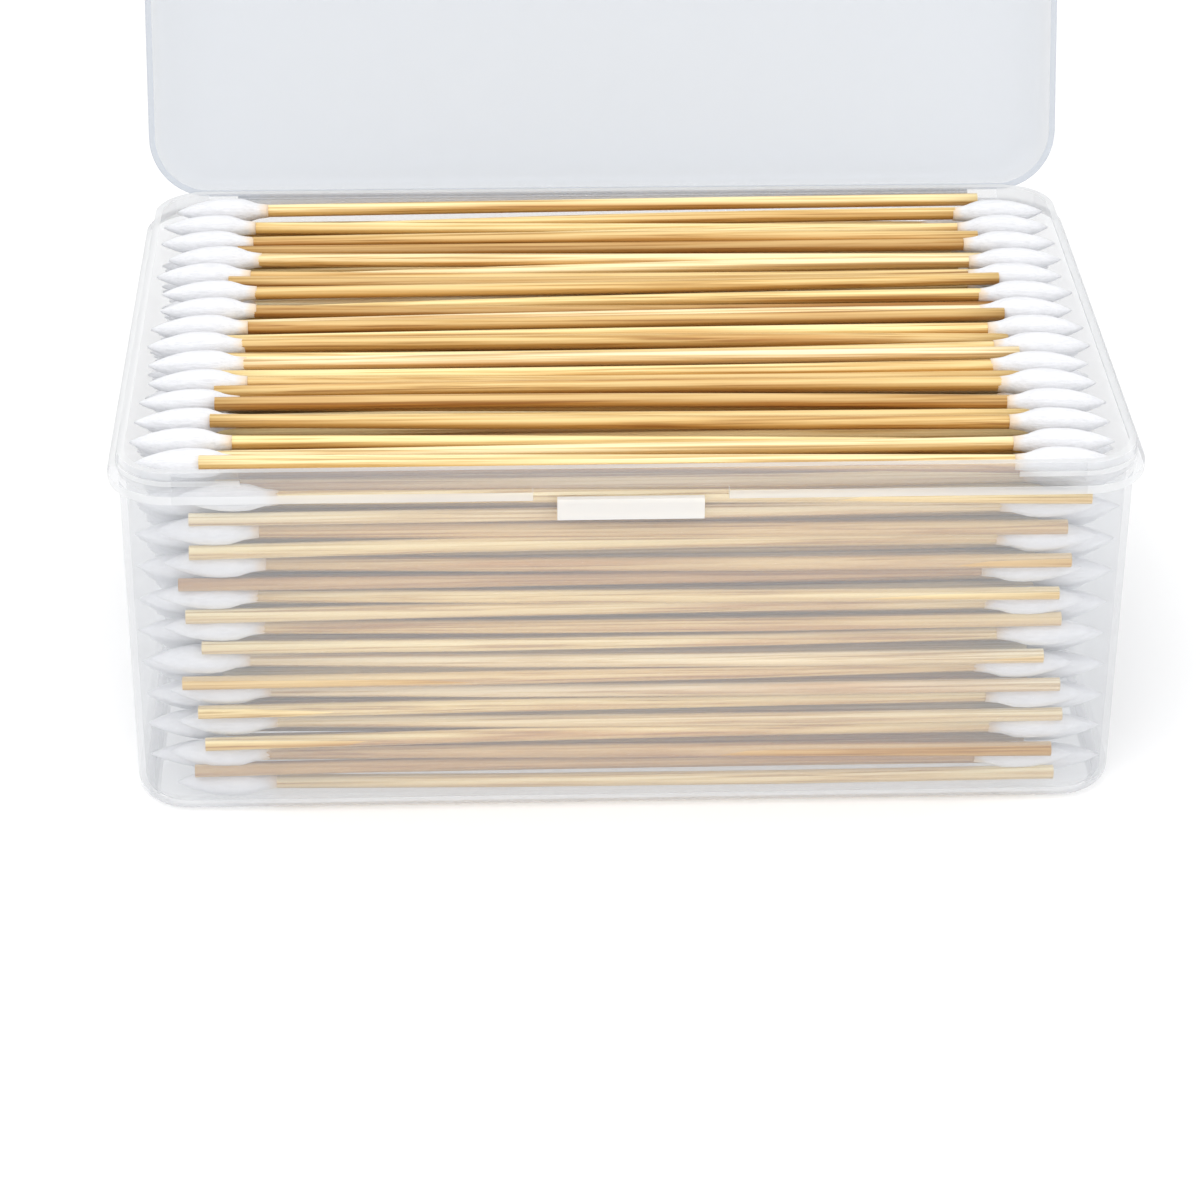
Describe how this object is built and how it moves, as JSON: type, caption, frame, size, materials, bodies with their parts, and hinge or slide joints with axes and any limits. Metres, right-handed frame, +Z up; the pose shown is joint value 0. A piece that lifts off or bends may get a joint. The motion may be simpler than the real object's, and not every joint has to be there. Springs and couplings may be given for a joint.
{
  "type": "cotton swab tub",
  "caption": "Clear moulded box with a film-hinged lid standing open, packed with long bamboo swabs whose pointed cotton heads lie at both ends.",
  "frame": {"origin": "centre of the tub's underside", "axes": "+Z up, +X along the box and the swabs, front with the latch towards -Y, lid hinge towards +Y"},
  "size_m": [0.1696, 0.162, 0.1765],
  "materials": {
    "frosted_plastic": "translucent polypropylene, smooth moulded",
    "bamboo": "split bamboo, sanded, uncoated",
    "cotton": "wound cotton fibre, white"
  },
  "bodies": {
    "tub": {"tub": "frosted_plastic", "stick_layer_01": "bamboo", "stick_layer_02": "bamboo", "stick_layer_03": "bamboo", "stick_layer_04": "bamboo", "stick_layer_05": "bamboo", "stick_layer_06": "bamboo", "stick_layer_07": "bamboo", "stick_layer_08": "bamboo", "stick_layer_09": "bamboo", "stick_layer_10": "bamboo", "stick_layer_11": "bamboo", "stick_layer_12": "bamboo", "stick_layer_13": "bamboo", "stick_layer_14": "bamboo", "stick_layer_15": "bamboo", "stick_layer_16": "bamboo", "stick_layer_17": "bamboo", "stick_layer_18": "bamboo", "stick_layer_19": "bamboo", "stick_layer_20": "bamboo", "cotton_layer_01": "cotton", "cotton_layer_02": "cotton", "cotton_layer_03": "cotton", "cotton_layer_04": "cotton", "cotton_layer_05": "cotton", "cotton_layer_06": "cotton", "cotton_layer_07": "cotton", "cotton_layer_08": "cotton", "cotton_layer_09": "cotton", "cotton_layer_10": "cotton", "cotton_layer_11": "cotton", "cotton_layer_12": "cotton", "cotton_layer_13": "cotton", "cotton_layer_14": "cotton", "cotton_layer_15": "cotton", "cotton_layer_16": "cotton", "cotton_layer_17": "cotton", "cotton_layer_18": "cotton", "cotton_layer_19": "cotton", "cotton_layer_20": "cotton"},
    "lid": {"lid": "frosted_plastic"}
  },
  "joints": [
    {"name": "lid_hinge", "type": "hinge", "parent": "tub", "child": "lid", "pos_m": [0, 0.05725, 0.0634], "axis": [1, 0, 0], "range_deg": [0, 109]}
  ]
}
